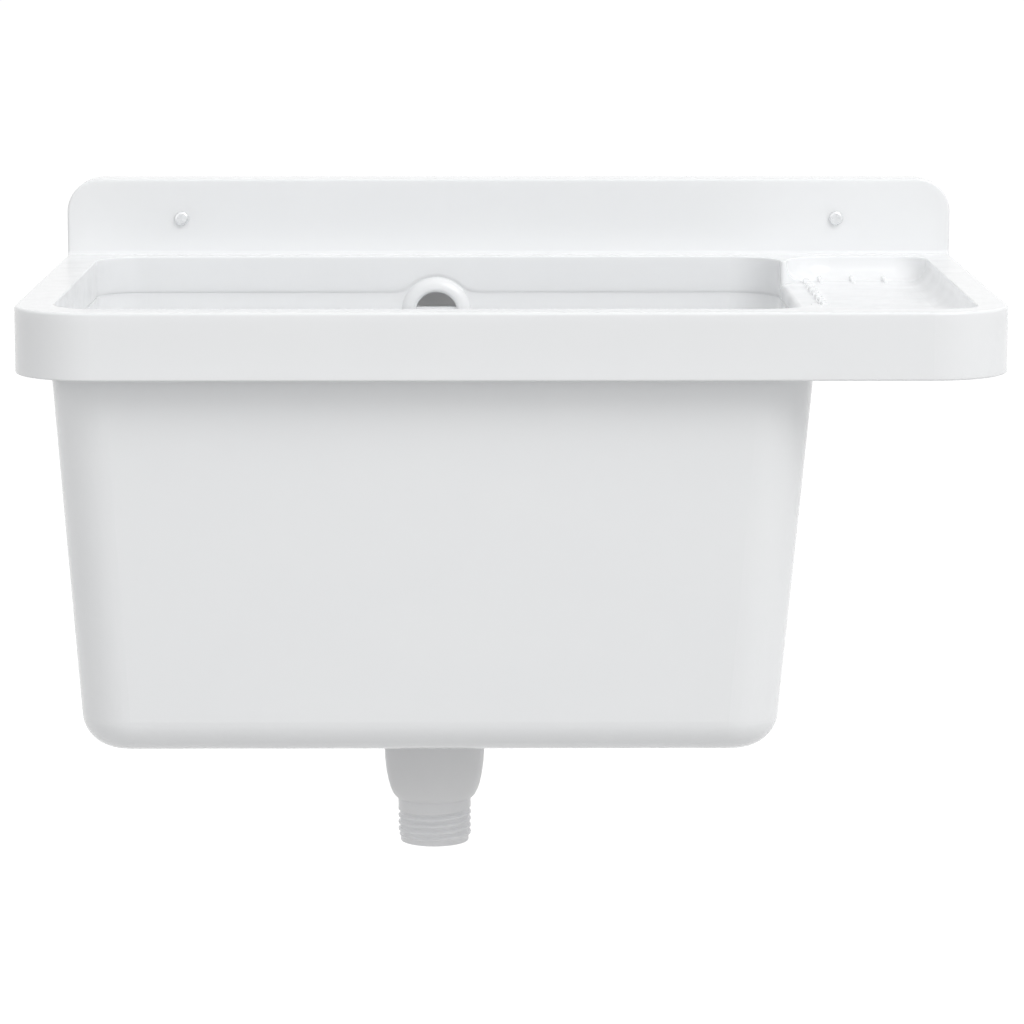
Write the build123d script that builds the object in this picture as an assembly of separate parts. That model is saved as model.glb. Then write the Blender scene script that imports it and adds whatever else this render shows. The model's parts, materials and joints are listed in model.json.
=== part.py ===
from build123d import *

import math
import os

# Wall-mounted utility sink: a moulded top frame with splashback and soap shelf, a deep bowl
# hung under it, a strainer waste with a threaded tail, and an overflow piped to the waste.
# Millimetres. The origin is midway between the two wall screws, on the wall plane.
# +X is to the right as seen from the room, +Y points into the wall, +Z is up.

# Top frame: rim, splashback and wall screws
WIDTH = 610.0
DEPTH = 400.0
SKIRT_HEIGHT = 41.6
SKIRT_EDGE_RADIUS = 1.2
RIM_CORNER_RADIUS = 50.0
RIM_EDGE_RADIUS = 1.8
FRAME_WALL = 4.0
SPLASH_HEIGHT = 52.0
SPLASH_THICKNESS = 24.6
SPLASH_CORNER_RADIUS = 23.0
SPLASH_FOOT_RADIUS = 2.8
SCREW_ABOVE_RIM = 24.8
SCREW_SPACING = 452.0
WALL_BOSS_RADIUS = 9.0
GUSSET_THICKNESS = 2.5
GUSSET_OFFSET = 22.0

# Bowl opening in the frame, its inner lip and the foot that the bowl is screwed to
LEFT_LEDGE = 24.0
FRONT_LEDGE = 21.5
BACK_LEDGE = 43.0
SHELF_WIDTH = 120.5
OPENING_RADIUS = 32.0
OPENING_EDGE_RADIUS = 0.9
LIP_DEPTH = 24.4
LIP_WALL = 4.0
FOOT_WIDTH = 8.5
FOOT_THICKNESS = 4.0
RIB_THICKNESS = 2.5
RIB_PITCH = 110.0

# Soap shelf beside the bowl
TRAY_LEDGE = 19.5
TRAY_DEPTH = 15.7
TRAY_CORNER_RADIUS = 20.0
TRAY_FLOOR_RADIUS = 13.0
POST_WIDTH = 4.0
POST_RADIUS = 1.8
POST_SETBACK = 2.2
DIVIDER_WIDTH = 16.0
DIVIDER_EDGE_RADIUS = 4.5
TOOTH_WIDTH = 4.5
TOOTH_HEIGHT = 3.0
TOOTH_LENGTH = 16.0
TOOTH_PITCH = 25.0
TOOTH_RADIUS = 1.4
SOAP_RIB_COUNT = 3
SOAP_RIB_PITCH = 22.0
SOAP_RIB_WIDTH = 2.5
SOAP_RIB_HEIGHT = 3.0
SOAP_RIB_LENGTH = 32.0
SOAP_RIB_RADIUS = 1.0
SOAP_RIB_MARGIN = 12.5

# Bowl
BOWL_BOTTOM = 280.3
BOWL_WALL = 3.5
BOWL_DRAFT = 4.37
BOWL_LEFT_DRAFT = 3.75
BOWL_RIGHT_DRAFT = 5.0
BOWL_BASE_CORNER_RADIUS = 29.0
BOWL_BASE_EDGE_RADIUS = 19.5
FLANGE_THICKNESS = 4.0
SEAM_GAP = 0.8
SEAM_DEPTH = 0.4
SEAL_MARGIN = 1.0

# Overflow in the back of the bowl
OVERFLOW_DROP = 38.5
OVERFLOW_RADIUS = 14.3
OVERFLOW_HEIGHT = 10.2
ARCH_RADIUS = 25.0
ARCH_FOOT_RADIUS = 15.0
DOME_HEIGHT = 5.5
DOME_EDGE_RADIUS = 2.5
SOCKET_RADIUS = 17.0
SOCKET_WALL = 3.0
SOCKET_LENGTH = 7.5
SOCKET_RELIEF = 1.0
SOCKET_SHOULDER = 1.0
SOCKET_SEAL_WIDTH = 5.0
SOCKET_SEAL_THICKNESS = 1.0
SPIGOT_GAP = 0.5
COLLAR_THICKNESS = 2.0
ELBOW_WALL = 2.5
ELBOW_EDGE_RADIUS = 4.0
ELBOW_TAIL = 43.0
PIPE_RADIUS = 10.0
PIPE_WALL = 1.8
PIPE_BEND_RADIUS = 35.0
PIPE_INSERTION = 18.0
PIPE_CLEARANCE = 0.2
WALL_CLEARANCE = 1.5

# Waste: strainer, cup, threaded tail and plug
WASTE_OFFSET = 1.75
DRAIN_HOLE_RADIUS = 26.5
DISH_DEPTH = 4.0
DISH_SLOPE = 8.0
DISH_CLEARANCE = 1.0
BOSS_THICKNESS = 4.0
SEAL_THICKNESS = 1.5
FLOOR_SEAL_THICKNESS = 3.0
STRAINER_FLANGE_RADIUS = 36.0
STRAINER_SHEET = 1.2
STRAINER_CUP_RADIUS = 25.0
STRAINER_CUP_TAPER = 1.5
STRAINER_CUP_DEPTH = 10.2
STRAINER_HOLE_RADIUS = 3.6
STRAINER_HOLE_CIRCLE = 15.5
STRAINER_HOLE_COUNT = 9
CUP_FLANGE_RADIUS = 38.0
CUP_FLANGE_THICKNESS = 4.0
CUP_RADIUS = 33.0
CUP_WALL = 3.2
CUP_LENGTH = 53.1
CUP_SHOULDER = 38.0
TAIL_THREAD_RADIUS = 23.9
TAIL_THREAD_PITCH = 4.5
TAIL_THREAD_DEPTH = 1.3
TAIL_CREST = 1.0
TAIL_ROOT = 1.7
TAIL_NECK = 6.0
TAIL_LEAD = 3.0
TAIL_LEAD_RADIUS = 22.4
TAIL_LENGTH = 29.2
TAIL_BORE_RADIUS = 20.0
WEB_THICKNESS = 3.0
WEB_HEIGHT = 9.0
WEB_GAP = 3.0
NUT_BOSS_RADIUS = 8.0
NUT_RADIUS = 5.0
NUT_LENGTH = 10.0
NUT_SHELF = 1.5
BOLT_RADIUS = 3.0
BOLT_HEAD_RADIUS = 5.5
BOLT_HEAD_HEIGHT = 3.3
BOLT_HEAD_EDGE = 1.2
BOLT_CLEARANCE = 0.3
BOLT_SLOT_WIDTH = 1.4
INLET_DROP = 25.0
INLET_REACH = 25.0
INLET_RADIUS = 13.5
SLIP_NUT_WALL = 3.0
SLIP_NUT_LENGTH = 17.0
SLIP_NUT_LIP = 3.0
SLIP_NUT_RIB = 1.5
SLIP_NUT_RIBS = 12
CONE_SEAL_LENGTH = 4.0
CONE_SEAL_CHAMFER = 1.5
PLUG_RADIUS = 30.0
PLUG_THICKNESS = 3.2
PLUG_EDGE_RADIUS = 1.2
PLUG_SPIGOT_RADIUS = 20.0
PLUG_SPIGOT_WALL = 2.5
PLUG_SPIGOT_LENGTH = 7.0
PLUG_KNOB_RADIUS = 9.0
PLUG_KNOB_HEIGHT = 17.0
PLUG_KNOB_EDGE = 3.0
PLUG_STEM_RADIUS = 5.0
PLUG_STEM_HEIGHT = 8.0
PLUG_SEAL_RADIUS = 29.0

# Fasteners
WALL_SCREW_RADIUS = 2.5
WALL_SCREW_NECK_RADIUS = 2.0
WALL_SCREW_HEAD_RADIUS = 4.7
WALL_SCREW_HEAD_HEIGHT = 2.6
WALL_SCREW_HEAD_EDGE = 1.4
WALL_SCREW_REACH = 38.0
WALL_SCREW_TIP = 5.0
WALL_HOLE_CLEARANCE = 0.25
CROSS_LENGTH = 5.6
CROSS_WIDTH = 1.5
CROSS_DEPTH = 1.6
FLANGE_SCREW_RADIUS = 1.7
FLANGE_SCREW_HEAD_RADIUS = 3.4
FLANGE_SCREW_HEAD_HEIGHT = 2.4
FLANGE_SCREW_HEAD_EDGE = 1.0
FLANGE_SCREW_SLOT = 1.0
FLANGE_HOLE_CLEARANCE = 0.3
FLANGE_SCREW_BITE = 4.4
FLANGE_SCREW_BOSS_RADIUS = 4.0
FLANGE_SCREW_BOSS_HEIGHT = 3.0
FLANGE_SCREW_SPREAD = 190.0
FLANGE_SCREW_INNER_SPREAD = 75.0
FLANGE_SCREW_SIDE_SPREAD = 85.0
FIT = 0.05

# Places worked out from the sizes above
RIM_Z = -SCREW_ABOVE_RIM
SKIRT_Z = RIM_Z - SKIRT_HEIGHT
SPLASH_Z = RIM_Z + SPLASH_HEIGHT
LEFT_X = -WIDTH / 2
RIGHT_X = WIDTH / 2
FRONT_Y = -DEPTH
SPLASH_Y = -SPLASH_THICKNESS
BOWL_LENGTH = WIDTH - LEFT_LEDGE - SHELF_WIDTH
BOWL_WIDTH = DEPTH - FRONT_LEDGE - BACK_LEDGE
BOWL_X = LEFT_X + LEFT_LEDGE + BOWL_LENGTH / 2
BOWL_Y = FRONT_Y + FRONT_LEDGE + BOWL_WIDTH / 2
OPENING_RIGHT_X = RIGHT_X - SHELF_WIDTH
OPENING_BACK_Y = -BACK_LEDGE
LIP_Z = RIM_Z - LIP_DEPTH
FOOT_TOP_Z = LIP_Z + FOOT_THICKNESS
FLANGE_Z = LIP_Z - SEAM_GAP
FLANGE_REACH = LIP_WALL + FOOT_WIDTH
BASE_Z = RIM_Z - BOWL_BOTTOM
FLOOR_Z = BASE_Z + BOWL_WALL
TRAY_LEFT_X = OPENING_RIGHT_X + POST_WIDTH
TRAY_RIGHT_X = RIGHT_X - TRAY_LEDGE
TRAY_Z = RIM_Z - TRAY_DEPTH
TRAY_COVE = min(TRAY_FLOOR_RADIUS, 0.9 * TRAY_DEPTH, 0.8 * TRAY_CORNER_RADIUS)
FLARE_X = TRAY_LEFT_X + TRAY_COVE
TIP_RADIUS = min(POST_RADIUS, 0.48 * POST_WIDTH, 0.9 * POST_SETBACK)
TOOTH_X = OPENING_RIGHT_X + DIVIDER_WIDTH
WASTE_X = BOWL_X - WASTE_OFFSET
OVERFLOW_Z = RIM_Z - OVERFLOW_DROP
OVERFLOW_SILL_Z = OVERFLOW_Z + OVERFLOW_RADIUS - OVERFLOW_HEIGHT
TAB_Y = OPENING_BACK_Y
SOCKET_Y = TAB_Y + BOWL_WALL + SOCKET_LENGTH
SOCKET_FLOOR_Y = TAB_Y + BOWL_WALL + SOCKET_SHOULDER
SPIGOT_RADIUS = SOCKET_RADIUS - SOCKET_SEAL_THICKNESS
SEAL_Y = SOCKET_FLOOR_Y + SPIGOT_GAP
ELBOW_RADIUS = PIPE_RADIUS + PIPE_CLEARANCE + ELBOW_WALL
ELBOW_Z = OVERFLOW_Z - ELBOW_TAIL
PIPE_Y = -WALL_CLEARANCE - ELBOW_RADIUS - SLIP_NUT_WALL - SLIP_NUT_RIB
ELBOW_Y = PIPE_Y + ELBOW_RADIUS
SEAT_RADIUS = STRAINER_FLANGE_RADIUS + DISH_CLEARANCE
SEAT_Z = FLOOR_Z - DISH_DEPTH
BOSS_Z = SEAT_Z - BOSS_THICKNESS
STRAINER_Z = SEAT_Z + SEAL_THICKNESS
STRAINER_FLOOR_Z = STRAINER_Z + STRAINER_SHEET - STRAINER_CUP_DEPTH
CUP_Z = BOSS_Z - FLOOR_SEAL_THICKNESS
NECK_Z = CUP_Z - CUP_LENGTH
TAIL_Z = NECK_Z - TAIL_LENGTH
WEB_Z = STRAINER_FLOOR_Z - WEB_GAP
INLET_Z = CUP_Z - INLET_DROP
INLET_Y = BOWL_Y + CUP_RADIUS + INLET_REACH
PLUG_Z = STRAINER_Z + STRAINER_SHEET


def prism(sketch, low, high):
    """A flat outline in plan, raised from one height to another."""
    return extrude(Pos(0, 0, low) * sketch, amount=high - low)


def box(x, y, z):
    """A block between two corners, each axis given as (low, high)."""
    middle = [(low + high) / 2 for low, high in (x, y, z)]
    return Pos(*middle) * Box(x[1] - x[0], y[1] - y[0], z[1] - z[0])


def rod_z(radius, x, y, low, high):
    """An upright cylinder."""
    return Pos(x, y, (low + high) / 2) * Cylinder(radius, high - low)


def rod_y(radius, x, z, low, high):
    """A cylinder along the depth of the sink."""
    return Pos(x, (low + high) / 2, z) * Rot(90, 0, 0) * Cylinder(radius, high - low)


def turned(points, x, y):
    """A ring or disc turned about an upright axis from (radius, height) corners."""
    outline = make_face(Plane.XZ * Polyline(*points, close=True))
    return Pos(x, y, 0) * revolve(outline, Axis.Z)


def edges_where(shape, test):
    """The edges whose middle point passes a test."""
    return ShapeList([edge for edge in shape.edges() if test(edge @ 0.5)])


def near(a, b):
    """Whether two lengths are the same to a hundredth of a millimetre."""
    return abs(a - b) < 0.01


def rim_plan(inset):
    """The rim seen from above: round at the front, square where it meets the wall."""
    outline = Pos(0, (FRONT_Y + inset) / 2) * Rectangle(WIDTH - 2 * inset, DEPTH - inset)
    return fillet(outline.vertices().sort_by(Axis.Y)[:2], RIM_CORNER_RADIUS - inset)


def splash_block(inset, low, front, back):
    """The splashback from a given height up, with rounded top corners."""
    top = SPLASH_Z - inset
    outline = Pos(0, (low + top) / 2) * Rectangle(WIDTH - 2 * inset, top - low)
    outline = fillet(outline.vertices().sort_by(Axis.Y)[-2:], SPLASH_CORNER_RADIUS - inset)
    return extrude(Plane.XZ.offset(-back) * outline, amount=back - front)


def opening_plan(grow):
    """The bowl opening seen from above, grown by an offset."""
    length = BOWL_LENGTH + 2 * grow
    width = BOWL_WIDTH + 2 * grow
    return Pos(BOWL_X, BOWL_Y) * RectangleRounded(length, width, OPENING_RADIUS + grow)


def arch_plan(radius, level, foot_radius):
    """Upright outline of the overflow arch: a circle rising from everything below a level."""
    reach = 2 * (radius + foot_radius)
    below = Pos(WASTE_X, level - reach / 2) * Rectangle(2 * reach, reach)
    outline = Pos(WASTE_X, OVERFLOW_Z) * Circle(radius) + below
    feet = [v for v in outline.vertices() if near(v.Y, level) and abs(v.X - WASTE_X) < radius]
    return fillet(feet, foot_radius)


def arch_block(radius, level, foot_radius, front, back):
    """The overflow arch as a block along the depth."""
    outline = arch_plan(radius, level, foot_radius)
    return extrude(Plane.XZ.offset(-back) * outline, amount=back - front)


def flange_screw_places():
    """Where the bowl flange is screwed to the frame, as (x, y) points."""
    reach = LIP_WALL + FOOT_WIDTH / 2
    across = BOWL_WIDTH / 2 + reach
    along = BOWL_LENGTH / 2 + reach
    steps = (FLANGE_SCREW_INNER_SPREAD, FLANGE_SCREW_SPREAD)
    places = [(BOWL_X + s * x, BOWL_Y + t * across) for x in steps for s in (-1, 1) for t in (-1, 1)]
    sides = [(BOWL_X + s * along, BOWL_Y + t * FLANGE_SCREW_SIDE_SPREAD) for s in (-1, 1) for t in (-1, 1)]
    return places + sides


def frame_skin():
    """Rim, skirt and splashback as one rounded block."""
    skin = prism(rim_plan(0), SKIRT_Z, RIM_Z) + splash_block(0, SKIRT_Z, SPLASH_Y, 0)
    foot = edges_where(skin, lambda p: near(p.Y, SPLASH_Y) and near(p.Z, RIM_Z))
    skin = fillet(foot, SPLASH_FOOT_RADIUS)

    def outer_edge(p):
        on_deck = near(p.Z, RIM_Z) and p.Y < SPLASH_Y - SPLASH_FOOT_RADIUS - 1
        on_side = near(abs(p.X), RIGHT_X) and p.Z > RIM_Z and p.Y < -1
        on_splash = near(p.Y, SPLASH_Y) and p.Z > RIM_Z + SPLASH_FOOT_RADIUS + 1
        return on_deck or on_side or on_splash

    skin = fillet(edges_where(skin, outer_edge), RIM_EDGE_RADIUS)
    return fillet(edges_where(skin, lambda p: near(p.Z, SKIRT_Z) and p.Y < -1), SKIRT_EDGE_RADIUS)


def frame_hollow():
    """The open underside and back of the frame."""
    below = SKIRT_Z - 1
    under = prism(rim_plan(FRAME_WALL), below, RIM_Z - FRAME_WALL)
    return under + splash_block(FRAME_WALL, below, SPLASH_Y + FRAME_WALL, 1)


def frame_lip():
    """The collar round the bowl opening, with the foot that carries the bowl flange."""
    lip = prism(opening_plan(LIP_WALL), LIP_Z, RIM_Z - FRAME_WALL / 2)
    return lip + prism(opening_plan(FLANGE_REACH), LIP_Z, FOOT_TOP_Z)


def tray_plan(grow):
    """The soap tray seen from above, grown by an offset; beside the bowl its corners match the opening's."""
    outline = Rectangle(TRAY_RIGHT_X - TRAY_LEFT_X + 2 * grow, BOWL_WIDTH + 2 * grow)
    outline = fillet(outline.vertices().sort_by(Axis.X)[-2:], TRAY_CORNER_RADIUS + grow)
    outline = fillet(outline.vertices().sort_by(Axis.X)[:2], OPENING_RADIUS + grow)
    return Pos((TRAY_LEFT_X + TRAY_RIGHT_X) / 2, BOWL_Y) * outline


def tray_block(grow, top):
    """The soap tray as a dish-shaped block with a deep cove round its floor."""
    block = prism(tray_plan(grow), TRAY_Z - grow, top)
    return fillet(edges_where(block, lambda p: near(p.Z, TRAY_Z - grow)), TRAY_COVE)


def tray_pan():
    """The underside of the soap tray, and the sill between it and the bowl."""
    top = RIM_Z - FRAME_WALL / 2
    half = BOWL_WIDTH / 2 - OPENING_RADIUS
    x = (OPENING_RIGHT_X, OPENING_RIGHT_X + FLANGE_REACH)
    sill = box(x, (BOWL_Y - half, BOWL_Y + half), (FOOT_TOP_Z - FOOT_THICKNESS / 2, top))
    return tray_block(FRAME_WALL, top) + sill


def gap_reach():
    """Half the length of the gap where the tray is open to the bowl."""
    return BOWL_WIDTH / 2 - OPENING_RADIUS - POST_SETBACK


def gap_flare(start):
    """The flare from the gap into the floor of the tray, which starts at half a length."""
    wide = start + TRAY_COVE
    corners = ((TRAY_LEFT_X, -start), (FLARE_X, -wide), (FLARE_X, wide), (TRAY_LEFT_X, start))
    return Pos(0, BOWL_Y) * make_face(Polyline(*corners, close=True))


def gap_plan():
    """The gap seen from above: round post tips by the bowl, and a flare into the floor of the tray."""
    reach = gap_reach()
    left = OPENING_RIGHT_X - OPENING_RADIUS
    gap = Pos((left + FLARE_X) / 2, BOWL_Y) * Rectangle(FLARE_X - left, 2 * reach)
    outline = opening_plan(0) + gap + tray_plan(0)
    tips = [v for v in outline.vertices()
            if near(abs(v.Y - BOWL_Y), reach) and v.X > OPENING_RIGHT_X - 1]
    return fillet(tips, TIP_RADIUS) - tray_plan(0) + gap_flare(reach)


def divider_edge():
    """The sliver taken off the sill to round its edge over the bowl."""
    radius = min(DIVIDER_EDGE_RADIUS, 0.8 * (TRAY_Z - LIP_Z))
    x = (OPENING_RIGHT_X, OPENING_RIGHT_X + radius)
    y = (FRONT_Y, 0)
    corner = box(x, y, (TRAY_Z - radius, TRAY_Z)) - rod_y(radius, x[1], TRAY_Z - radius, y[0], y[1])
    return corner & prism(gap_plan(), TRAY_Z - radius, TRAY_Z)


def teeth():
    """A broken ridge that holds soap back and lets water run into the bowl."""
    free = BOWL_WIDTH - 2 * TRAY_CORNER_RADIUS - TOOTH_LENGTH
    count = int(free // TOOTH_PITCH) + 1
    first = BOWL_Y - (count - 1) * TOOTH_PITCH / 2
    tooth = Box(TOOTH_WIDTH, TOOTH_LENGTH, TOOTH_HEIGHT + FRAME_WALL / 2)
    tooth = fillet(tooth.faces().sort_by(Axis.Z)[-1].edges(), TOOTH_RADIUS)
    x = TOOTH_X + TOOTH_WIDTH / 2
    z = TRAY_Z + (TOOTH_HEIGHT - FRAME_WALL / 2) / 2
    return [Pos(x, first + i * TOOTH_PITCH, z) * tooth for i in range(count)]


def soap_ribs():
    """Short wedges at the foot of the tray's back slope."""
    top = TRAY_Z + SOAP_RIB_HEIGHT
    low = TRAY_Z - FRAME_WALL / 2
    bend = OPENING_BACK_Y - TRAY_COVE
    end = OPENING_BACK_Y - SOAP_RIB_LENGTH
    side = Polyline((OPENING_BACK_Y, top), (bend, top), (end, TRAY_Z), (end, low),
                    (OPENING_BACK_Y - TRAY_COVE / 2, low), close=True)
    half = SOAP_RIB_WIDTH / 2
    rib = extrude(Plane.YZ.offset(-half) * make_face(side), amount=SOAP_RIB_WIDTH)

    def crest_edge(p):
        return near(abs(p.X), half) and p.Z > TRAY_Z and p.Y < OPENING_BACK_Y - TRAY_COVE / 3

    rib = fillet(edges_where(rib, crest_edge), min(SOAP_RIB_RADIUS, 0.4 * SOAP_RIB_WIDTH))
    first = TOOTH_X + SOAP_RIB_MARGIN
    return [Pos(first + i * SOAP_RIB_PITCH, 0, 0) * rib for i in range(SOAP_RIB_COUNT)]


def frame_ribs():
    """Stiffening ribs between the skirt and the lip, and gussets beside the wall bosses."""
    z = (FOOT_TOP_Z - FOOT_THICKNESS / 2, RIM_Z - FRAME_WALL / 2)
    front = (FRONT_Y + FRAME_WALL / 2, FRONT_Y + FRONT_LEDGE - LIP_WALL / 2)
    left = (LEFT_X + FRAME_WALL / 2, LEFT_X + LEFT_LEDGE - LIP_WALL / 2)
    half = RIB_THICKNESS / 2
    along = int((BOWL_LENGTH / 2 - OPENING_RADIUS) // RIB_PITCH)
    across = int((BOWL_WIDTH / 2 - OPENING_RADIUS) // RIB_PITCH)
    ribs = []
    for i in range(-along, along + 1):
        x = BOWL_X + i * RIB_PITCH
        ribs.append(box((x - half, x + half), front, z))
    for i in range(-across, across + 1):
        y = BOWL_Y + i * RIB_PITCH
        ribs.append(box(left, (y - half, y + half), z))
    behind = (SPLASH_Y + FRAME_WALL / 2, 0)
    for side in (-1, 1):
        for step in (-1, 1):
            x = side * SCREW_SPACING / 2 + step * GUSSET_OFFSET
            gusset = (x - GUSSET_THICKNESS / 2, x + GUSSET_THICKNESS / 2)
            ribs.append(box(gusset, behind, (RIM_Z - FRAME_WALL, SPLASH_Z - FRAME_WALL / 2)))
    return ribs


def frame_bosses():
    """Bosses for the bowl screws and for the wall screws."""
    bosses = []
    for x, y in flange_screw_places():
        if x < OPENING_RIGHT_X:
            top = FOOT_TOP_Z + FLANGE_SCREW_BOSS_HEIGHT
            bosses.append(rod_z(FLANGE_SCREW_BOSS_RADIUS, x, y, LIP_Z, top))
    for side in (-1, 1):
        x = side * SCREW_SPACING / 2
        bosses.append(rod_y(WALL_BOSS_RADIUS, x, 0, SPLASH_Y + FRAME_WALL / 2, 0))
    return bosses


def frame_holes():
    """Pilot holes for the bowl screws and clearance holes for the wall screws."""
    pilot = FLANGE_SCREW_RADIUS + FIT
    holes = [rod_z(pilot, x, y, LIP_Z - 1, LIP_Z + FLANGE_SCREW_BITE) for x, y in flange_screw_places()]
    clear = WALL_SCREW_RADIUS + WALL_HOLE_CLEARANCE
    for side in (-1, 1):
        holes.append(rod_y(clear, side * SCREW_SPACING / 2, 0, SPLASH_Y - 1, 1))
    return holes


def top_frame():
    """The moulded frame: rim, skirt, splashback, soap tray, lip, ribs and bosses."""
    frame = frame_skin() - frame_hollow() + frame_lip() + tray_pan()
    frame += frame_ribs()
    frame += frame_bosses()
    frame -= prism(opening_plan(0), LIP_Z - 1, RIM_Z + 1)
    frame -= tray_block(0, RIM_Z)
    frame -= prism(gap_plan(), TRAY_Z, RIM_Z)

    def mouth_edge(p):
        inside_x = LEFT_X + LEFT_LEDGE - 1 < p.X < TRAY_RIGHT_X + 1
        inside_y = FRONT_Y + FRONT_LEDGE - 1 < p.Y < OPENING_BACK_Y + 1
        return near(p.Z, RIM_Z) and inside_x and inside_y

    frame = fillet(edges_where(frame, mouth_edge), min(OPENING_EDGE_RADIUS, 0.45 * POST_WIDTH))
    frame -= prism(gap_flare(gap_reach() + TIP_RADIUS), TRAY_Z, TRAY_Z + TRAY_COVE)
    frame -= divider_edge()
    frame += teeth()
    frame += soap_ribs()
    reach = OPENING_BACK_Y + FLANGE_REACH + 1
    front = OPENING_BACK_Y - OPENING_RADIUS / 2
    frame -= arch_block(ARCH_RADIUS + SEAM_GAP, LIP_Z, ARCH_FOOT_RADIUS, front, reach)
    frame -= frame_holes()
    return frame


def bowl_block(grow):
    """The tub as a solid block, grown from its inner face by an offset."""
    base = BASE_Z + BOWL_WALL - grow
    drop = FLANGE_Z - base
    left = BOWL_X - BOWL_LENGTH / 2 - grow + drop * math.tan(math.radians(BOWL_LEFT_DRAFT))
    right = BOWL_X + BOWL_LENGTH / 2 + grow - drop * math.tan(math.radians(BOWL_RIGHT_DRAFT))
    width = BOWL_WIDTH + 2 * (grow - drop * math.tan(math.radians(BOWL_DRAFT)))
    outline = RectangleRounded(right - left, width, BOWL_BASE_CORNER_RADIUS + grow)
    bottom = Pos((left + right) / 2, BOWL_Y, base) * outline
    block = loft([bottom, Pos(0, 0, FLANGE_Z) * opening_plan(grow)], ruled=True)
    edges = edges_where(block, lambda p: near(p.Z, base))
    return fillet(edges, min(BOWL_BASE_EDGE_RADIUS, 0.9 * BOWL_BASE_CORNER_RADIUS) + grow)


def overflow_dome():
    """The rounded disc that stands out round the overflow hole, turned about its axis."""
    crest = (OVERFLOW_RADIUS + DOME_EDGE_RADIUS, -DOME_HEIGHT)
    mouth = (OVERFLOW_RADIUS, DOME_EDGE_RADIUS - DOME_HEIGHT)
    sunk = BOWL_WALL / 2
    rim = (ARCH_RADIUS - SEAM_GAP, 0)
    lines = Polyline(mouth, (0, mouth[1]), (0, sunk), (rim[0] - sunk, sunk), rim)
    lines += TangentArc(crest, rim, tangent=(1, 0))
    lines += TangentArc(crest, mouth, tangent=(-1, 0))
    disc = revolve(make_face(lines), Axis.Y)
    return Pos(WASTE_X, TAB_Y, OVERFLOW_Z) * disc


def overflow_hole():
    """The half-moon hole through the dome, and the round chamber behind its sill."""
    front = TAB_Y - DOME_HEIGHT
    hole = rod_y(OVERFLOW_RADIUS, WASTE_X, OVERFLOW_Z, front, SOCKET_Y)
    x = (WASTE_X - OVERFLOW_RADIUS, WASTE_X + OVERFLOW_RADIUS)
    y = (front, front + DOME_EDGE_RADIUS + BOWL_WALL)
    return hole - box(x, y, (OVERFLOW_Z - OVERFLOW_RADIUS, OVERFLOW_SILL_Z))


def overflow_tab():
    """The part of the bowl's back edge that rises in an arch round the overflow."""
    back = TAB_Y + BOWL_WALL
    arch = arch_block(ARCH_RADIUS, FLANGE_Z, ARCH_FOOT_RADIUS + SEAM_GAP, TAB_Y, back)
    reach = 2 * ARCH_RADIUS
    above = box((WASTE_X - reach, WASTE_X + reach), (TAB_Y, back), (FLANGE_Z - FLANGE_THICKNESS, RIM_Z))
    return arch & above


def bowl():
    """The tub with its flange, overflow arch and socket, drain seat and holes."""
    tub = bowl_block(BOWL_WALL)
    tub += prism(opening_plan(FLANGE_REACH), FLANGE_Z - FLANGE_THICKNESS, FLANGE_Z)
    tub += rod_z(SEAT_RADIUS + DISH_SLOPE, WASTE_X, BOWL_Y, BOSS_Z, FLOOR_Z)
    tub += rod_y(SOCKET_RADIUS + SOCKET_WALL, WASTE_X, OVERFLOW_Z, TAB_Y, SOCKET_Y)
    tub -= rod_y(SOCKET_RADIUS + SOCKET_WALL + SOCKET_RELIEF, WASTE_X, OVERFLOW_Z, SOCKET_Y, 0)
    tub -= bowl_block(0)
    tub += overflow_tab()
    tub += overflow_dome()
    dish = ((0, SEAT_Z), (SEAT_RADIUS, SEAT_Z), (SEAT_RADIUS + DISH_SLOPE, FLOOR_Z), (0, FLOOR_Z))
    tub -= turned(dish, WASTE_X, BOWL_Y)
    tub -= rod_z(DRAIN_HOLE_RADIUS, WASTE_X, BOWL_Y, BOSS_Z - 1, SEAT_Z + 1)
    tub -= overflow_hole()
    tub -= rod_y(SOCKET_RADIUS, WASTE_X, OVERFLOW_Z, SOCKET_FLOOR_Y, SOCKET_Y)
    clear = FLANGE_SCREW_RADIUS + FLANGE_HOLE_CLEARANCE
    low = FLANGE_Z - FLANGE_THICKNESS - 1
    tub -= [rod_z(clear, x, y, low, FLANGE_Z + 1) for x, y in flange_screw_places()]
    return tub


def frame_seal():
    """The gasket in the seam, which rises over the overflow arch at the back."""
    ring = opening_plan(FLANGE_REACH - SEAL_MARGIN) - opening_plan(SEAM_DEPTH)
    seal = prism(ring, FLANGE_Z, LIP_Z)
    reach = ARCH_RADIUS + ARCH_FOOT_RADIUS + SEAM_GAP
    x = (WASTE_X - reach, WASTE_X + reach)
    seal -= box(x, (BOWL_Y, 0), (FLANGE_Z - 1, LIP_Z + 1))
    y = (TAB_Y + SEAM_DEPTH, TAB_Y + BOWL_WALL)
    arch = arch_block(ARCH_RADIUS + SEAM_GAP, LIP_Z, ARCH_FOOT_RADIUS, y[0], y[1])
    arch -= arch_block(ARCH_RADIUS, FLANGE_Z, ARCH_FOOT_RADIUS + SEAM_GAP, y[0], y[1])
    seal += arch & box(x, y, (FLANGE_Z, RIM_Z))
    clear = FLANGE_SCREW_RADIUS + FLANGE_HOLE_CLEARANCE
    seal -= [rod_z(clear, x, y, FLANGE_Z - 1, LIP_Z + 1) for x, y in flange_screw_places()]
    return seal


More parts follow.
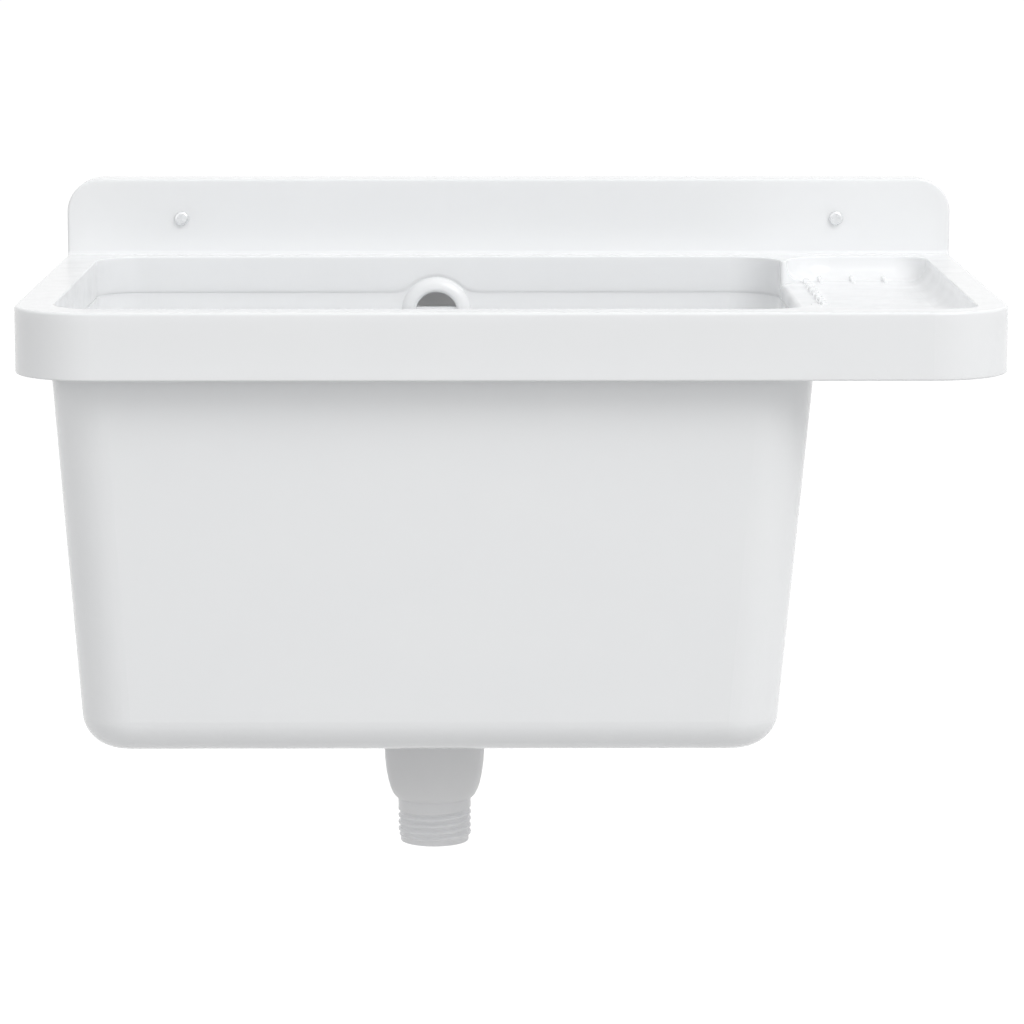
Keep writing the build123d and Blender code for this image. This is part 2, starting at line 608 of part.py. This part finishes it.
def cross_recess(height):
    """A cross-shaped driver recess sunk from a given height."""
    cross = Rectangle(CROSS_LENGTH, CROSS_WIDTH) + Rectangle(CROSS_WIDTH, CROSS_LENGTH)
    return prism(cross, height - CROSS_DEPTH, height)


def bowl_screws():
    """Screws from below through the bowl flange into the foot of the frame."""
    under = FLANGE_Z - FLANGE_THICKNESS
    screw = rod_z(FLANGE_SCREW_RADIUS, 0, 0, under, LIP_Z + FLANGE_SCREW_BITE - FIT)
    head = rod_z(FLANGE_SCREW_HEAD_RADIUS, 0, 0, under - FLANGE_SCREW_HEAD_HEIGHT, under)
    head = fillet(head.faces().sort_by(Axis.Z)[0].edges(), FLANGE_SCREW_HEAD_EDGE)
    slot_z = (under - FLANGE_SCREW_HEAD_HEIGHT, under - FLANGE_SCREW_HEAD_HEIGHT / 2)
    slot = (-FLANGE_SCREW_SLOT / 2, FLANGE_SCREW_SLOT / 2)
    reach = (-FLANGE_SCREW_HEAD_RADIUS, FLANGE_SCREW_HEAD_RADIUS)
    screw = screw + head - box(reach, slot, slot_z)
    return Compound(children=[Pos(x, y, 0) * screw for x, y in flange_screw_places()])


def facing_wall(shape, x):
    """Stands an upright piece on its side, its top towards the room, at a wall screw."""
    return Pos(x, 0, 0) * Rot(90, 0, 0) * shape


def wall_screws():
    """The two cross-head screws through the splashback."""
    face = SPLASH_THICKNESS
    top = face + WALL_SCREW_HEAD_HEIGHT
    head = rod_z(WALL_SCREW_HEAD_RADIUS, 0, 0, face, top)
    head = fillet(head.faces().sort_by(Axis.Z)[-1].edges(), WALL_SCREW_HEAD_EDGE)
    neck = rod_z(WALL_SCREW_NECK_RADIUS, 0, 0, 0, face)
    shank = rod_z(WALL_SCREW_RADIUS, 0, 0, WALL_SCREW_TIP - WALL_SCREW_REACH, 0)
    tip = ((0, -WALL_SCREW_REACH), (WALL_SCREW_RADIUS, WALL_SCREW_TIP - WALL_SCREW_REACH),
           (0, WALL_SCREW_TIP - WALL_SCREW_REACH))
    screw = head + neck + shank + turned(tip, 0, 0) - cross_recess(top)
    return Compound(children=[facing_wall(screw, side * SCREW_SPACING / 2) for side in (-1, 1)])


def washer(inner, outer, low, high):
    """A flat ring on the drain axis."""
    return turned(((inner, low), (outer, low), (outer, high), (inner, high)), WASTE_X, BOWL_Y)


def drain_strainer():
    """The perforated metal dish in the bowl floor."""
    side = STRAINER_CUP_RADIUS - STRAINER_CUP_TAPER
    inside = STRAINER_CUP_RADIUS - STRAINER_SHEET
    floor = STRAINER_FLOOR_Z + STRAINER_SHEET
    outline = ((0, STRAINER_FLOOR_Z), (side, STRAINER_FLOOR_Z), (STRAINER_CUP_RADIUS, STRAINER_Z),
               (STRAINER_FLANGE_RADIUS, STRAINER_Z), (STRAINER_FLANGE_RADIUS, PLUG_Z), (inside, PLUG_Z),
               (side - STRAINER_SHEET, floor), (0, floor))
    dish = turned(outline, WASTE_X, BOWL_Y)
    dish -= rod_z(BOLT_RADIUS + BOLT_CLEARANCE, WASTE_X, BOWL_Y, STRAINER_FLOOR_Z - 1, floor + 1)
    for i in range(STRAINER_HOLE_COUNT):
        angle = 2 * math.pi * i / STRAINER_HOLE_COUNT
        x = WASTE_X + STRAINER_HOLE_CIRCLE * math.cos(angle)
        y = BOWL_Y + STRAINER_HOLE_CIRCLE * math.sin(angle)
        dish -= rod_z(STRAINER_HOLE_RADIUS, x, y, STRAINER_FLOOR_Z - 1, floor + 1)
    return dish


def strainer_seal():
    """The gasket under the strainer flange."""
    return washer(DRAIN_HOLE_RADIUS, STRAINER_FLANGE_RADIUS - SEAL_MARGIN, SEAT_Z, STRAINER_Z)


def floor_seal():
    """The gasket between the bowl floor and the drain cup."""
    return washer(DRAIN_HOLE_RADIUS, CUP_FLANGE_RADIUS - SEAL_MARGIN, CUP_Z, BOSS_Z)


def cup_body():
    """The drain cup and its tail, turned, with a soft shoulder above the thread."""
    top = CUP_Z - CUP_FLANGE_THICKNESS
    turn = NECK_Z + CUP_SHOULDER
    inner = CUP_RADIUS - CUP_WALL
    inner_neck = NECK_Z + CUP_WALL
    lead = TAIL_Z + TAIL_LEAD
    step = TAIL_THREAD_RADIUS - TAIL_LEAD_RADIUS
    lines = Polyline((inner, turn), (inner, CUP_Z), (CUP_FLANGE_RADIUS, CUP_Z), (CUP_FLANGE_RADIUS, top),
                     (CUP_RADIUS, top), (CUP_RADIUS, turn))
    lines += EllipticalCenterArc((TAIL_THREAD_RADIUS, turn), CUP_RADIUS - TAIL_THREAD_RADIUS,
                                 CUP_SHOULDER, 270, arc_size=90)
    lines += Polyline((TAIL_THREAD_RADIUS, NECK_Z), (TAIL_THREAD_RADIUS, lead + step),
                      (TAIL_LEAD_RADIUS, lead), (TAIL_LEAD_RADIUS, TAIL_Z),
                      (TAIL_BORE_RADIUS, TAIL_Z), (TAIL_BORE_RADIUS, inner_neck))
    lines += EllipticalCenterArc((TAIL_BORE_RADIUS, turn), inner - TAIL_BORE_RADIUS,
                                 turn - inner_neck, 270, arc_size=90)
    outline = make_face(Plane.XZ * lines)
    return Pos(WASTE_X, BOWL_Y, 0) * revolve(outline, Axis.Z)


def tail_groove():
    """The helical groove that cuts the thread on the tail."""
    start = TAIL_Z + TAIL_LEAD - TAIL_THREAD_PITCH
    height = NECK_Z - TAIL_NECK - start
    path = Pos(0, 0, start) * Helix(TAIL_THREAD_PITCH, height, TAIL_THREAD_RADIUS)
    root = TAIL_ROOT / 2
    flank = (TAIL_THREAD_PITCH / 2 - TAIL_CREST / 2 - root) / TAIL_THREAD_DEPTH
    outside = TAIL_CREST / 4
    mouth = root + flank * (TAIL_THREAD_DEPTH + outside)
    outline = make_face(Polyline((outside, mouth), (-TAIL_THREAD_DEPTH, root),
                                 (-TAIL_THREAD_DEPTH, -root), (outside, -mouth), close=True))
    section = Pos(TAIL_THREAD_RADIUS, 0, start) * Rot(90, 0, 0) * outline
    groove = sweep(section, path=path, is_frenet=True)
    return Pos(WASTE_X, BOWL_Y, 0) * groove


def cup_web():
    """The cross inside the cup that carries the bolt nut."""
    low = WEB_Z - WEB_HEIGHT
    reach = CUP_RADIUS - CUP_WALL / 2
    half = WEB_THICKNESS / 2
    web = box((WASTE_X - reach, WASTE_X + reach), (BOWL_Y - half, BOWL_Y + half), (low, WEB_Z))
    web += box((WASTE_X - half, WASTE_X + half), (BOWL_Y - reach, BOWL_Y + reach), (low, WEB_Z))
    return web + rod_z(NUT_BOSS_RADIUS, WASTE_X, BOWL_Y, WEB_Z - NUT_SHELF - NUT_LENGTH, WEB_Z)


def drain_cup():
    """The waste body: cup, web for the nut, side inlet for the overflow and threaded tail."""
    cup = cup_body() + cup_web()
    cup -= rod_z(BOLT_RADIUS + BOLT_CLEARANCE, WASTE_X, BOWL_Y, WEB_Z - NUT_SHELF - 1, WEB_Z + 1)
    cup -= rod_z(NUT_RADIUS + FIT, WASTE_X, BOWL_Y, WEB_Z - NUT_SHELF - NUT_LENGTH - 1, WEB_Z - NUT_SHELF)
    wall = BOWL_Y + CUP_RADIUS - CUP_WALL
    cup += rod_y(INLET_RADIUS, WASTE_X, INLET_Z, wall, INLET_Y)
    cup -= rod_y(PIPE_RADIUS + PIPE_CLEARANCE, WASTE_X, INLET_Z, INLET_Y - PIPE_INSERTION, INLET_Y + 1)
    cup -= rod_y(PIPE_RADIUS - PIPE_WALL, WASTE_X, INLET_Z, wall - CUP_WALL, INLET_Y)
    return cup - tail_groove()


def drain_bolt():
    """The bolt that pulls the strainer and the cup together through the floor."""
    seat = STRAINER_FLOOR_Z + STRAINER_SHEET
    top = seat + BOLT_HEAD_HEIGHT
    head = rod_z(BOLT_HEAD_RADIUS, WASTE_X, BOWL_Y, seat, top)
    head = fillet(head.faces().sort_by(Axis.Z)[-1].edges(), BOLT_HEAD_EDGE)
    shank = rod_z(BOLT_RADIUS, WASTE_X, BOWL_Y, WEB_Z - NUT_SHELF - NUT_LENGTH, seat)
    reach = (WASTE_X - BOLT_HEAD_RADIUS, WASTE_X + BOLT_HEAD_RADIUS)
    slot = (BOWL_Y - BOLT_SLOT_WIDTH / 2, BOWL_Y + BOLT_SLOT_WIDTH / 2)
    return head + shank - box(reach, slot, (top - BOLT_HEAD_HEIGHT / 2, top))


def bolt_nut():
    """The round brass nut in the boss of the cup's web."""
    top = WEB_Z - NUT_SHELF
    return washer(BOLT_RADIUS + FIT, NUT_RADIUS, top - NUT_LENGTH, top)


def plug_body():
    """The lift-out plug: a cap with a spigot below and a knob above."""
    low = PLUG_Z + SEAL_THICKNESS
    top = low + PLUG_THICKNESS
    cap = rod_z(PLUG_RADIUS, WASTE_X, BOWL_Y, low, top)
    cap = fillet(cap.faces().sort_by(Axis.Z)[-1].edges(), PLUG_EDGE_RADIUS)
    spigot = washer(PLUG_SPIGOT_RADIUS - PLUG_SPIGOT_WALL, PLUG_SPIGOT_RADIUS, low - PLUG_SPIGOT_LENGTH, top)
    stem = rod_z(PLUG_STEM_RADIUS, WASTE_X, BOWL_Y, low, top + PLUG_KNOB_HEIGHT)
    knob = rod_z(PLUG_KNOB_RADIUS, WASTE_X, BOWL_Y, top + PLUG_STEM_HEIGHT, top + PLUG_KNOB_HEIGHT)
    knob = fillet(knob.edges().filter_by(GeomType.CIRCLE), PLUG_KNOB_EDGE)
    return cap + spigot + stem + knob


def plug_seal():
    """The rubber ring under the plug."""
    return washer(PLUG_SPIGOT_RADIUS, PLUG_SEAL_RADIUS, PLUG_Z, PLUG_Z + SEAL_THICKNESS)


def overflow_seal():
    """The ring between the bowl's overflow socket and the elbow."""
    outer = rod_y(SOCKET_RADIUS - FIT, WASTE_X, OVERFLOW_Z, SEAL_Y, SEAL_Y + SOCKET_SEAL_WIDTH)
    return outer - rod_y(SPIGOT_RADIUS + FIT, WASTE_X, OVERFLOW_Z, SEAL_Y - 1, SOCKET_Y)


def overflow_elbow():
    """The elbow behind the overflow: spigot, collar, round chamber and a tail for the pipe."""
    start = SOCKET_FLOOR_Y + SPIGOT_GAP
    elbow = rod_y(SPIGOT_RADIUS, WASTE_X, OVERFLOW_Z, start, ELBOW_Y)
    elbow = fillet(elbow.faces().sort_by(Axis.Y)[-1].edges(), ELBOW_EDGE_RADIUS)
    elbow += rod_y(SOCKET_RADIUS + SOCKET_WALL, WASTE_X, OVERFLOW_Z, SOCKET_Y, SOCKET_Y + COLLAR_THICKNESS)
    elbow += rod_z(ELBOW_RADIUS, WASTE_X, PIPE_Y, ELBOW_Z, OVERFLOW_Z)
    elbow -= rod_y(SPIGOT_RADIUS - ELBOW_WALL, WASTE_X, OVERFLOW_Z, start - 1, ELBOW_Y - ELBOW_WALL)
    elbow -= rod_z(PIPE_RADIUS - PIPE_WALL, WASTE_X, PIPE_Y, ELBOW_Z, OVERFLOW_Z)
    stop = ELBOW_Z + PIPE_INSERTION
    return elbow - rod_z(PIPE_RADIUS + PIPE_CLEARANCE, WASTE_X, PIPE_Y, ELBOW_Z - 1, stop)


def overflow_pipe():
    """The rigid pipe down behind the bowl and forward to the drain cup."""
    top = (WASTE_X, PIPE_Y, ELBOW_Z + PIPE_INSERTION)
    corner = (WASTE_X, PIPE_Y, INLET_Z)
    end = (WASTE_X, INLET_Y - PIPE_INSERTION, INLET_Z)
    path = FilletPolyline(top, corner, end, radius=PIPE_BEND_RADIUS)
    ring = Circle(PIPE_RADIUS) - Circle(PIPE_RADIUS - PIPE_WALL)
    return sweep(Pos(*top) * ring, path=path)


def slip_nut(tube_radius):
    """A ribbed nut that clamps the pipe to the end of a tube, which stands up from height zero."""
    outer = tube_radius + SLIP_NUT_WALL
    low = -CONE_SEAL_LENGTH - SLIP_NUT_LIP
    high = low + SLIP_NUT_LENGTH
    nut = rod_z(outer, 0, 0, low, high)
    for i in range(SLIP_NUT_RIBS):
        angle = 2 * math.pi * i / SLIP_NUT_RIBS
        nut += rod_z(SLIP_NUT_RIB, outer * math.cos(angle), outer * math.sin(angle), low, high)
    nut -= rod_z(tube_radius + PIPE_CLEARANCE, 0, 0, -CONE_SEAL_LENGTH, high + 1)
    return nut - rod_z(PIPE_RADIUS + PIPE_CLEARANCE, 0, 0, low - 1, high)


def cone_seal(tube_radius):
    """A rubber ring squeezed round the pipe under a slip nut."""
    ring = rod_z(tube_radius, 0, 0, -CONE_SEAL_LENGTH, 0)
    ring = chamfer(ring.faces().sort_by(Axis.Z)[0].edges(), CONE_SEAL_CHAMFER)
    return ring - rod_z(PIPE_RADIUS + FIT, 0, 0, -CONE_SEAL_LENGTH - 1, 1)


def at_elbow(shape):
    """Puts a slip nut or its seal on the tail of the overflow elbow."""
    return Pos(WASTE_X, PIPE_Y, ELBOW_Z) * shape


def at_inlet(shape):
    """Puts a slip nut or its seal on the side inlet of the drain cup."""
    return Pos(WASTE_X, INLET_Y, INLET_Z) * Rot(90, 0, 0) * shape


def elbow_slip_nut():
    """The nut at the top of the overflow pipe."""
    return at_elbow(slip_nut(ELBOW_RADIUS))


def elbow_cone_seal():
    """The seal at the top of the overflow pipe."""
    return at_elbow(cone_seal(ELBOW_RADIUS))


def inlet_slip_nut():
    """The nut at the foot of the overflow pipe."""
    return at_inlet(slip_nut(INLET_RADIUS))


def inlet_cone_seal():
    """The seal at the foot of the overflow pipe."""
    return at_inlet(cone_seal(INLET_RADIUS))


PIECES = (top_frame, bowl, frame_seal, bowl_screws, wall_screws, drain_strainer,
          strainer_seal, floor_seal, drain_cup, drain_bolt, bolt_nut, plug_body, plug_seal,
          overflow_seal, overflow_elbow, overflow_pipe, elbow_slip_nut, elbow_cone_seal,
          inlet_slip_nut, inlet_cone_seal)

os.makedirs("parts", exist_ok=True)
for piece in PIECES:
    export_step(piece(), "parts/" + piece.__name__ + ".step")
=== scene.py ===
import json
import math

import bpy
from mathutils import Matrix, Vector

# Camera, fitted to the photograph: metres and degrees in the sink's own frame
CAMERA_PLACE = (-0.0142, -2.8692, 0.2444)
CAMERA_PITCH = 8.99
CAMERA_YAW = 0.33
CAMERA_LENS = 144.84
CAMERA_REACH = 200.0
SENSOR_WIDTH = 36.0

# Studio: floor height and size in metres, and brightness of the surroundings
FLOOR_HEIGHT = -0.86
FLOOR_SIZE = 60.0
FLOOR_COLOUR = (0.56, 0.56, 0.56)
FLOOR_GLOW = 0.66
SKY_LIGHT = 0.69
AIM = (0.0, -0.2, -0.15)

# Lamps: place, size in metres and power in watts
LAMPS = {
    "key_lamp": ((3.21, -4.03, 5.03), 4.0, 212.0),
    "fill_lamp": ((-1.85, -7.09, 0.85), 4.0, 18.0),
}

# Plastics: refraction, the share of light that enters, and how far it spreads in metres
WHITE_REFRACTION = 1.5
WHITE_LIGHT_SHARE = 0.4
WHITE_LIGHT_DEPTH = 0.004
SATIN_REFRACTION = 1.49
SATIN_LIGHT_DEPTH = 0.008
WASTE_LIGHT_SHARE = 0.9

# Depth of the fine surface relief in metres
RIPPLE_DEPTH = 0.00002
GLOSS_GRAIN_DEPTH = 0.000006
SATIN_GRAIN_DEPTH = 0.00003
RUBBER_GRAIN_DEPTH = 0.00004
SCRATCH_DEPTH = 0.00002

# The part of the range from 0 to 1 that noise mostly fills
NOISE_LOW = 0.3
NOISE_HIGH = 0.7

# Sockets of the colour mixer, which have the same names as its other sockets
MIX_FIRST = 6
MIX_SECOND = 7
MIX_RESULT = 2

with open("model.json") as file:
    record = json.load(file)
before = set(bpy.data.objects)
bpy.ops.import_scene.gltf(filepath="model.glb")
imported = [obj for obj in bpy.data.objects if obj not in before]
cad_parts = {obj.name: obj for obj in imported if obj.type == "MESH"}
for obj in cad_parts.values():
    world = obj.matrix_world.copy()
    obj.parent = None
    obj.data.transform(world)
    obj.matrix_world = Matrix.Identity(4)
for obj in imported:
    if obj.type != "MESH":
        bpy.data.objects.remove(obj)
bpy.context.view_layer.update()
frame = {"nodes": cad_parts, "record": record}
nodes = frame["nodes"]


def make_camera():
    """The camera at the photograph's viewing angle."""
    data = bpy.data.cameras.new("camera")
    data.sensor_width = SENSOR_WIDTH
    data.lens = CAMERA_LENS
    data.clip_end = CAMERA_REACH
    camera = bpy.data.objects.new("camera", data)
    camera.location = CAMERA_PLACE
    camera.rotation_euler = (math.radians(90 - CAMERA_PITCH), 0, math.radians(-CAMERA_YAW))
    bpy.context.scene.collection.objects.link(camera)
    bpy.context.scene.camera = camera


def make_lamp(name, place, size, power):
    """A square soft lamp aimed at the middle of the sink."""
    data = bpy.data.lights.new(name, "AREA")
    data.size = size
    data.energy = power
    lamp = bpy.data.objects.new(name, data)
    lamp.location = place
    lamp.rotation_euler = (Vector(AIM) - Vector(place)).to_track_quat("-Z", "Y").to_euler()
    bpy.context.scene.collection.objects.link(lamp)


def seen_directly(tree):
    """A value of 1 for rays that show the background itself: straight, mirrored or through glass."""
    path = tree.nodes.new("ShaderNodeLightPath")
    total = path.outputs["Is Camera Ray"]
    for name in ("Is Glossy Ray", "Is Transmission Ray"):
        either = tree.nodes.new("ShaderNodeMath")
        either.operation = "MAXIMUM"
        tree.links.new(total, either.inputs[0])
        tree.links.new(path.outputs[name], either.inputs[1])
        total = either.outputs[0]
    return total


def make_world():
    """Even white surroundings that light the sink softly and show as white."""
    world = bpy.data.worlds.new("studio")
    world.use_nodes = True
    bpy.context.scene.world = world
    tree = world.node_tree
    level = tree.nodes.new("ShaderNodeMapRange")
    level.inputs["To Min"].default_value = SKY_LIGHT
    level.inputs["To Max"].default_value = 1.0
    tree.links.new(seen_directly(tree), level.inputs["Value"])
    background = tree.nodes["Background"]
    background.inputs["Color"].default_value = (1, 1, 1, 1)
    tree.links.new(level.outputs["Result"], background.inputs["Strength"])


def shader_of(name):
    """A new material, its node tree and its main shader."""
    material = bpy.data.materials.new(name)
    material.use_nodes = True
    return material, material.node_tree, material.node_tree.nodes["Principled BSDF"]


def floor_finish():
    """Matt and pale, with a glow that only shows to the eye and in reflections."""
    material, tree, shader = shader_of("floor")
    shader.inputs["Base Color"].default_value = (*FLOOR_COLOUR, 1)
    shader.inputs["Roughness"].default_value = 1.0
    shader.inputs["Specular IOR Level"].default_value = 0.0
    shader.inputs["Emission Color"].default_value = (1, 1, 1, 1)
    glow = tree.nodes.new("ShaderNodeMath")
    glow.operation = "MULTIPLY"
    glow.inputs[1].default_value = FLOOR_GLOW
    tree.links.new(seen_directly(tree), glow.inputs[0])
    tree.links.new(glow.outputs[0], shader.inputs["Emission Strength"])
    return material


def make_floor():
    """A pale floor that shows as white where it is lit and keeps the shadow."""
    half = FLOOR_SIZE / 2
    mesh = bpy.data.meshes.new("floor")
    corners = [(-half, -half, 0), (half, -half, 0), (half, half, 0), (-half, half, 0)]
    mesh.from_pydata(corners, [], [(0, 1, 2, 3)])
    floor = bpy.data.objects.new("floor", mesh)
    floor.location = (0, 0, FLOOR_HEIGHT)
    bpy.context.scene.collection.objects.link(floor)
    mesh.materials.append(floor_finish())


def noise(tree, scale, detail, stretch=(1, 1, 1)):
    """Noise in metres of the sink's own frame: scale is in cells a metre."""
    place = tree.nodes.new("ShaderNodeTexCoord")
    mapping = tree.nodes.new("ShaderNodeMapping")
    mapping.inputs["Scale"].default_value = stretch
    tree.links.new(place.outputs["Object"], mapping.inputs["Vector"])
    texture = tree.nodes.new("ShaderNodeTexNoise")
    texture.inputs["Scale"].default_value = scale
    texture.inputs["Detail"].default_value = detail
    tree.links.new(mapping.outputs["Vector"], texture.inputs["Vector"])
    return texture.outputs["Fac"]


def roughen(tree, shader, value, low, high):
    """Roughness that drifts with noise between two bounds."""
    ramp = tree.nodes.new("ShaderNodeMapRange")
    ramp.inputs["From Min"].default_value = NOISE_LOW
    ramp.inputs["From Max"].default_value = NOISE_HIGH
    ramp.inputs["To Min"].default_value = low
    ramp.inputs["To Max"].default_value = high
    tree.links.new(value, ramp.inputs["Value"])
    tree.links.new(ramp.outputs["Result"], shader.inputs["Roughness"])


def tint(tree, shader, value, one, other):
    """Colour that drifts with noise between two close tones."""
    mix = tree.nodes.new("ShaderNodeMix")
    mix.data_type = "RGBA"
    mix.inputs[MIX_FIRST].default_value = (*one, 1)
    mix.inputs[MIX_SECOND].default_value = (*other, 1)
    tree.links.new(value, mix.inputs["Factor"])
    tree.links.new(mix.outputs[MIX_RESULT], shader.inputs["Base Color"])


def relief(tree, shader, layers):
    """Fine bumps: each layer is (height value, depth in metres)."""
    normal = None
    for value, depth in layers:
        bump = tree.nodes.new("ShaderNodeBump")
        bump.inputs["Strength"].default_value = 1.0
        bump.inputs["Distance"].default_value = depth
        tree.links.new(value, bump.inputs["Height"])
        if normal:
            tree.links.new(normal, bump.inputs["Normal"])
        normal = bump.outputs["Normal"]
    tree.links.new(normal, shader.inputs["Normal"])


def let_light_in(shader, share, depth):
    """Light that enters the plastic and spreads in it: its share, and how far it goes in metres."""
    shader.inputs["Subsurface Weight"].default_value = share
    shader.inputs["Subsurface Radius"].default_value = (1.0, 1.0, 1.0)
    shader.inputs["Subsurface Scale"].default_value = depth


def glossy_moulding(name, one, other):
    """White moulded plastic: glossy, with faint flow marks and a fine surface ripple."""
    material, tree, shader = shader_of(name)
    shader.inputs["IOR"].default_value = WHITE_REFRACTION
    let_light_in(shader, WHITE_LIGHT_SHARE, WHITE_LIGHT_DEPTH)
    tint(tree, shader, noise(tree, scale=9, detail=3, stretch=(1, 1, 2.5)), one, other)
    roughen(tree, shader, noise(tree, scale=26, detail=4), low=0.16, high=0.26)
    ripple = noise(tree, scale=160, detail=2)
    grain = noise(tree, scale=1500, detail=2)
    relief(tree, shader, ((ripple, RIPPLE_DEPTH), (grain, GLOSS_GRAIN_DEPTH)))
    return material


def satin_moulding(name, one, other, low, high, light_share):
    """Satin moulded plastic with an even spark-eroded grain, which may let some light in."""
    material, tree, shader = shader_of(name)
    shader.inputs["IOR"].default_value = SATIN_REFRACTION
    let_light_in(shader, light_share, SATIN_LIGHT_DEPTH)
    tint(tree, shader, noise(tree, scale=30, detail=3), one, other)
    roughen(tree, shader, noise(tree, scale=60, detail=3), low, high)
    relief(tree, shader, ((noise(tree, scale=900, detail=3), SATIN_GRAIN_DEPTH),))
    return material


def white_plastic():
    """The frame and the bowl."""
    return glossy_moulding("white_plastic", (0.89, 0.90, 0.91), (0.91, 0.92, 0.93))


def waste_plastic():
    """The waste, the overflow and the plug: slightly bluish, and lets light through."""
    one, other = (0.91, 0.92, 0.96), (0.93, 0.94, 0.98)
    return satin_moulding("waste_plastic", one, other, low=0.34, high=0.46, light_share=WASTE_LIGHT_SHARE)


def seam_silicone():
    """The pale gasket in the seam between frame and bowl."""
    one, other = (0.84, 0.85, 0.86), (0.87, 0.88, 0.89)
    return satin_moulding("seam_silicone", one, other, low=0.45, high=0.6, light_share=0.0)


def seal_rubber():
    """Dark grey rubber with a dusty bloom."""
    material, tree, shader = shader_of("seal_rubber")
    tint(tree, shader, noise(tree, scale=70, detail=4), (0.10, 0.10, 0.105), (0.16, 0.16, 0.165))
    roughen(tree, shader, noise(tree, scale=90, detail=3), low=0.6, high=0.8)
    relief(tree, shader, ((noise(tree, scale=1400, detail=3), RUBBER_GRAIN_DEPTH),))
    return material


def brushed_metal(name, one, other, stretch):
    """Metal with fine drawn scratches: the noise is squeezed across their direction."""
    material, tree, shader = shader_of(name)
    shader.inputs["Metallic"].default_value = 1.0
    tint(tree, shader, noise(tree, scale=40, detail=3), one, other)
    scratches = noise(tree, scale=500, detail=4, stretch=stretch)
    roughen(tree, shader, scratches, low=0.24, high=0.42)
    relief(tree, shader, ((scratches, SCRATCH_DEPTH),))
    return material


def steel():
    """Screws, strainer and drain bolt."""
    return brushed_metal("steel", (0.79, 0.80, 0.81), (0.87, 0.88, 0.89), stretch=(1, 12, 1))


def brass():
    """The nut of the drain bolt."""
    return brushed_metal("brass", (0.70, 0.52, 0.22), (0.78, 0.60, 0.28), stretch=(1, 1, 12))


FINISHES = {
    "white_plastic": white_plastic(),
    "waste_plastic": waste_plastic(),
    "seal_rubber": seal_rubber(),
    "steel": steel(),
    "brass": brass(),
    "seam_silicone": seam_silicone(),
}


def dress_nodes():
    """Gives every solid the finish of its slot in the record."""
    for entry in frame["record"]["subparts"]:
        mesh = nodes[entry["node"]].data
        mesh.materials.clear()
        mesh.materials.append(FINISHES[entry["material_slot"]])


make_camera()
for lamp_name, (lamp_place, lamp_size, lamp_power) in LAMPS.items():
    make_lamp(lamp_name, lamp_place, lamp_size, lamp_power)
make_world()
make_floor()
dress_nodes()

bpy.context.scene.view_settings.view_transform = "Standard"
